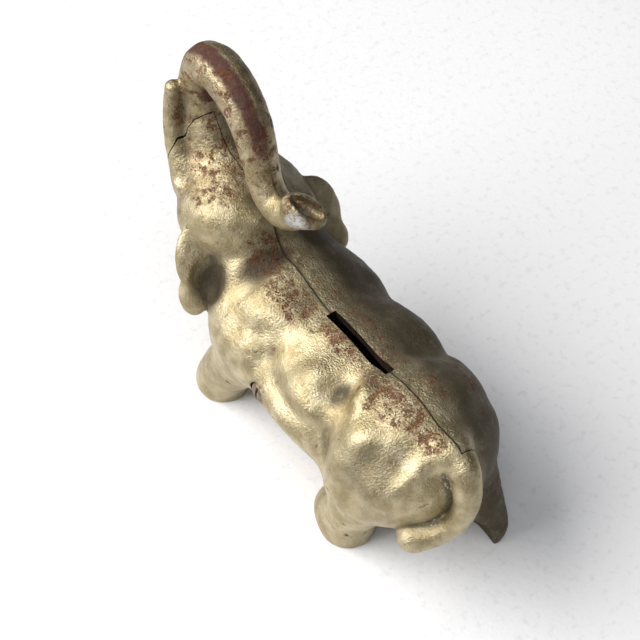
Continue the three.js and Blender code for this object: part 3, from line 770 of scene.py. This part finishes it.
class Shade:
    """A material whose nodes are added by short calls."""

    def __init__(self, name):
        self.material = bpy.data.materials.new(name)
        self.material.use_nodes = True
        self.nodes = self.material.node_tree.nodes
        self.links = self.material.node_tree.links
        self.surface = self.nodes["Principled BSDF"]
        self.place = self.nodes.new("ShaderNodeTexCoord").outputs["Object"]

    def put(self, socket, value):
        """Sets a socket to a number or colour, or links it."""
        if isinstance(value, bpy.types.NodeSocket):
            self.links.new(value, socket)
        elif isinstance(value, tuple) and len(value) == 3:
            socket.default_value = (*value, 1)
        else:
            socket.default_value = value

    def noise(self, size, detail=4.0, roughness=0.55, distortion=0.0):
        """Noise whose blobs are about that many millimetres across."""
        node = self.nodes.new("ShaderNodeTexNoise")
        self.links.new(self.place, node.inputs["Vector"])
        node.inputs["Scale"].default_value = 1 / (size * MM)
        node.inputs["Detail"].default_value = detail
        node.inputs["Roughness"].default_value = roughness
        node.inputs["Distortion"].default_value = distortion
        return node.outputs["Fac"]

    def spots(self, size):
        """Distance to the nearest of many scattered ragged spots, in spot spacings."""
        bend = self.nodes.new("ShaderNodeTexNoise")
        self.links.new(self.place, bend.inputs["Vector"])
        bend.inputs["Scale"].default_value = 1.6 / (size * MM)
        push = self.nodes.new("ShaderNodeVectorMath")
        push.operation = "MULTIPLY_ADD"
        self.links.new(bend.outputs["Color"], push.inputs[0])
        push.inputs[1].default_value = (0.9 * size * MM,) * 3
        self.links.new(self.place, push.inputs[2])
        node = self.nodes.new("ShaderNodeTexVoronoi")
        self.links.new(push.outputs[0], node.inputs["Vector"])
        node.inputs["Scale"].default_value = 1 / (size * MM)
        thinning = self.step(self.noise(2.3 * size, 2, 0.5), 0.4, 0.6, 0, 0.25)
        return self.math("ADD", node.outputs["Distance"], thinning)

    def mask(self, name):
        """One of the numbers that paint_masks gave to the casting's points."""
        node = self.nodes.new("ShaderNodeAttribute")
        node.attribute_name = name
        return node.outputs["Fac"]

    def math(self, operation, a, b=0.0, c=0.0):
        node = self.nodes.new("ShaderNodeMath")
        node.operation = operation
        for socket, value in zip(node.inputs, (a, b, c)):
            self.put(socket, value)
        return node.outputs[0]

    def step(self, value, start, end, low=0.0, high=1.0):
        """Goes smoothly from low to high as the value goes from start to end."""
        node = self.nodes.new("ShaderNodeMapRange")
        node.interpolation_type = "SMOOTHSTEP"
        settings = {"Value": value, "From Min": start, "From Max": end, "To Min": low, "To Max": high}
        for name, setting in settings.items():
            self.put(node.inputs[name], setting)
        return node.outputs[0]

    def mix(self, factor, a, b):
        """Colour a where factor is 0, b where it is 1."""
        node = self.nodes.new("ShaderNodeMix")
        node.data_type = "RGBA"
        self.put(node.inputs[0], factor)
        self.put(node.inputs[6], a)
        self.put(node.inputs[7], b)
        return node.outputs[2]

    def blend(self, factor, a, b):
        """Number a where factor is 0, b where it is 1."""
        node = self.nodes.new("ShaderNodeMix")
        self.put(node.inputs[0], factor)
        self.put(node.inputs[2], a)
        self.put(node.inputs[3], b)
        return node.outputs[0]

    def relief(self, *layers):
        """Stacks (height, distance in millimetres) layers of bump."""
        normal = None
        for height, distance in layers:
            node = self.nodes.new("ShaderNodeBump")
            node.inputs["Distance"].default_value = distance * MM
            self.put(node.inputs["Height"], height)
            if normal is not None:
                self.links.new(normal, node.inputs["Normal"])
            normal = node.outputs["Normal"]
        self.links.new(normal, self.surface.inputs["Normal"])

    def finish(self, colour, metal, rough):
        self.put(self.surface.inputs["Base Color"], colour)
        self.put(self.surface.inputs["Metallic"], metal)
        self.put(self.surface.inputs["Roughness"], rough)
        return self.material


DARK_GILT = (0.36, 0.292, 0.158)
PALE_GILT = (0.60, 0.515, 0.335)
CLOUDY_GILT = (0.28, 0.238, 0.14)
GRAIN_GILT = (0.76, 0.68, 0.50)
GRIME = (0.098, 0.08, 0.052)
# Near black, for soot and for painted shade.
SOOT_AND_SHADE = (0.04, 0.031, 0.021)
RUBBED_IRON = (0.66, 0.66, 0.67)
PLUM = (0.075, 0.034, 0.028)
STAIN = (0.15, 0.082, 0.045)
DARK_RUST = (0.055, 0.021, 0.012)
RED_RUST = (0.19, 0.07, 0.028)
PALE_SPOT = (0.55, 0.57, 0.50)


def gilt_iron():
    """Old gold-bronze paint on sand-cast iron: specks of rust, plum patches, grime, painted shade with some
    soot, a worn tip.
    """
    s = Shade("gilt_iron")
    grain = s.noise(0.9, 5, 0.65)
    gilt = s.mix(s.step(s.noise(7.0, 5, 0.6), 0.35, 0.7), DARK_GILT, PALE_GILT)
    gilt = s.mix(s.step(s.noise(24.0, 3, 0.5), 0.4, 0.7, 0, 0.45), gilt, CLOUDY_GILT)
    gilt = s.mix(s.step(grain, 0.45, 0.8, 0, 0.35), gilt, GRAIN_GILT)

    # Grime in the hollows, and painted shade with some soot on the sheltered sides.
    grime = s.step(s.noise(3.5, 5, 0.7), 0.26, 0.54)
    grime = s.math("MULTIPLY", s.step(s.mask("hollow"), 0.1, 0.8), grime)
    # Painted shade, with some soot, darkens the paint towards near black.
    soot_and_shade = s.step(s.noise(4.0, 5, 0.65), 0.15, 0.5, 0.6, 1.0)
    soot_and_shade = s.math("MINIMUM", s.math("MULTIPLY", s.mask("soot_and_shade"), soot_and_shade), 1.0)
    colour = s.mix(s.math("MULTIPLY", grime, 0.82), gilt, GRIME)
    colour = s.mix(s.math("MULTIPLY", soot_and_shade, 0.88), colour, SOOT_AND_SHADE)

    # Paint rubbed off to bright iron, and paint darkened to plum.
    rubbed = s.math("MULTIPLY", s.mask("worn"), s.step(s.noise(2.2, 4, 0.6), 0.38, 0.5))
    colour = s.mix(rubbed, colour, RUBBED_IRON)
    plum = s.step(s.math("ADD", s.mask("plum"), s.noise(3.4, 8, 0.72)), 0.66, 1.36)
    colour = s.mix(plum, colour, PLUM)

    # Rust: a stain under it, fine specks, and larger patches broken up by the grain.
    wanted = s.mask("rust")
    stain = s.math("MULTIPLY", wanted, s.step(s.noise(3.2, 5, 0.65), 0.38, 0.7, 0, 0.7))
    colour = s.mix(stain, colour, STAIN)
    specks = s.math("SUBTRACT", s.math("MULTIPLY", wanted, 0.48), s.spots(1.0))
    patch = s.math("ADD", s.noise(4.5, 6, 0.62), s.math("MULTIPLY", wanted, 0.17))
    patch = s.math("MULTIPLY", s.step(patch, 0.60, 0.72), s.step(s.noise(0.9, 4, 0.6), 0.34, 0.5))
    rust = s.math("MAXIMUM", s.step(specks, 0.0, 0.07), s.math("MULTIPLY", patch, 0.9))
    rust_colour = s.mix(s.step(s.noise(1.1, 4, 0.6), 0.35, 0.7), DARK_RUST, RED_RUST)
    colour = s.mix(rust, colour, rust_colour)
    # Pale whitish spots in the tail's curl and beside its root.
    pale_spot = s.math("MULTIPLY", s.mask("pale_spot"), s.step(s.noise(1.3, 3, 0.5), 0.56, 0.62))
    colour = s.mix(pale_spot, colour, PALE_SPOT)

    # Whatever covers the gilt, painted shade included, is dull and not metallic.
    dull = s.math("MAXIMUM", s.math("MAXIMUM", rust, pale_spot), s.math("MULTIPLY", grime, 0.6))
    dull = s.math("MAXIMUM", dull, s.math("MULTIPLY", soot_and_shade, 0.45))
    dull = s.math("MAXIMUM", dull, plum)
    s.surface.inputs["Specular IOR Level"].default_value = 0.2
    s.relief((s.noise(0.8, 3, 0.6), 0.42), (s.noise(2.2, 3, 0.55), 0.18), (rust, -0.1))
    metal = s.blend(dull, 0.92, 0.06)
    rough = s.blend(dull, s.step(grain, 0.3, 0.75, 0.33, 0.46), 0.76)
    return s.finish(colour, metal, rough)


def bare_iron_and_slot_shade():
    """Iron without paint: painted nearly black, darker than bare iron, as painted shade in the slot, the
    same on the parting faces; rusty brown deep inside.
    """
    s = Shade("bare_iron_and_slot_shade")
    # Painted shade: near black, so that the slot's walls read as shadow.
    colour = s.mix(s.step(s.noise(3.0, 5, 0.6), 0.35, 0.65), (0.003, 0.0025, 0.002), (0.012, 0.008, 0.006))
    inside = s.mix(s.step(s.noise(6.0, 5, 0.65), 0.35, 0.65), (0.055, 0.032, 0.02), (0.13, 0.066, 0.034))
    colour = s.mix(s.mask("deep"), colour, inside)
    s.relief((s.noise(1.7, 4, 0.6), 0.16))
    s.surface.inputs["Specular IOR Level"].default_value = 0.08
    return s.finish(colour, 0.0, 0.9)


def old_steel():
    """Browned screw steel, dull where specks of rust lie and rubbed a little."""
    s = Shade("old_steel")
    patch = s.step(s.noise(1.6, 5, 0.65), 0.35, 0.65)
    colour = s.mix(patch, (0.16, 0.12, 0.085), (0.30, 0.25, 0.17))
    rust = s.step(s.noise(0.8, 5, 0.7), 0.52, 0.62)
    colour = s.mix(rust, colour, (0.14, 0.06, 0.035))
    s.relief((s.noise(0.4, 4, 0.6), 0.08), (s.noise(1.3, 3, 0.6), 0.1))
    return s.finish(colour, s.blend(rust, 0.8, 0.1), s.blend(rust, 0.45, 0.8))


def pale_paper():
    """A pale floor, faintly mottled, with a painted pool of light: painted grey away from the elephant."""
    s = Shade("pale_floor")
    blotch = s.step(s.noise(4.0, 5, 0.6), 0.52, 0.72)
    colour = s.mix(blotch, (0.80, 0.80, 0.812), (0.715, 0.715, 0.735))
    distance = s.nodes.new("ShaderNodeVectorMath")
    distance.operation = "LENGTH"
    s.links.new(s.place, distance.inputs[0])
    # Painted pool of light: the floor is painted grey away from the elephant.
    painted_light_falloff = s.step(distance.outputs["Value"], 0.28, 0.8)
    colour = s.mix(painted_light_falloff, colour, (0.22, 0.22, 0.23))
    s.relief((s.noise(2.5, 5, 0.6), 0.15))
    return s.finish(colour, 0.0, 0.85)


# ---- The scene ---------------------------------------------------------------------------------

FLOOR_REACH = 4000
AIR_COLOUR, AIR_STRENGTH = (0.86, 0.90, 1.0, 1), 0.05
# Lamps: azimuth from in front of the head, elevation, distance, size, watts, colour.
LAMPS = {
    "window": (57, 41, 2600, (3000, 2200), 131, (1.0, 0.985, 0.965)),
    "ceiling": (155, 62, 2600, (2200, 2200), 30, (0.97, 0.985, 1.0)),
}
LAMP_AIM = (0, 0, 60)
CAMERA_PLACE = (197.2, 277.3, 504.9)
CAMERA_AIM = (8.6, 8.0, 84.1)
LENS = 79.4
SENSOR = 36


def look(thing, place, aim):
    thing.location = Vector(place) * MM
    direction = (Vector(aim) - Vector(place)).normalized()
    thing.rotation_euler = direction.to_track_quat("-Z", "Y").to_euler()


def area_light(name, azimuth, elevation, distance, size, power, colour):
    """A soft rectangular lamp that looks at the elephant."""
    lamp = bpy.data.lights.new(name, "AREA")
    lamp.shape = "RECTANGLE"
    lamp.size, lamp.size_y = size[0] * MM, size[1] * MM
    lamp.energy = power
    lamp.color = colour
    thing = bpy.data.objects.new(name, lamp)
    bpy.context.collection.objects.link(thing)
    a, e = math.radians(azimuth), math.radians(elevation)
    way = Vector((math.sin(a) * math.cos(e), -math.cos(a) * math.cos(e), math.sin(e)))
    look(thing, way * distance + Vector(LAMP_AIM), LAMP_AIM)


def build_stage():
    """The floor, the room's faint light, the lamps and the camera."""
    corners = [(-FLOOR_REACH, -FLOOR_REACH, 0), (FLOOR_REACH, -FLOOR_REACH, 0),
               (FLOOR_REACH, FLOOR_REACH, 0), (-FLOOR_REACH, FLOOR_REACH, 0)]
    floor = mesh_object("floor", corners, [(0, 1, 2, 3)])
    floor.data.materials[BARE] = pale_paper()
    scene = bpy.context.scene
    world = bpy.data.worlds.new("room")
    world.use_nodes = True
    air = world.node_tree.nodes["Background"]
    air.inputs["Color"].default_value = AIR_COLOUR
    air.inputs["Strength"].default_value = AIR_STRENGTH
    scene.world = world
    for name, settings in LAMPS.items():
        area_light(name, *settings)
    camera = bpy.data.cameras.new("camera")
    camera.lens, camera.sensor_width = LENS, SENSOR
    thing = bpy.data.objects.new("camera", camera)
    bpy.context.collection.objects.link(thing)
    look(thing, CAMERA_PLACE, CAMERA_AIM)
    scene.camera = thing
    scene.view_settings.view_transform = "Standard"


def main():
    gilt, bare_and_shade, steel = gilt_iron(), bare_iron_and_slot_shade(), old_steel()
    left, right = build_castings()
    screw, nut = build_screw(), build_nut()
    for piece, outer, inner, slot, node, body in (
        (left, gilt, bare_and_shade, "gilt_iron", "left_casting", "left_half"),
        (right, gilt, bare_and_shade, "gilt_iron", "right_casting", "right_half"),
        (screw, steel, steel, "old_steel", "clamp_screw", "screw"),
        (nut, steel, steel, "old_steel", "square_nut", "right_half"),
    ):
        piece.data.materials[PAINTED] = outer
        piece.data.materials[BARE] = inner
        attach(piece, body)
        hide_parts(node)
    build_stage()


main()
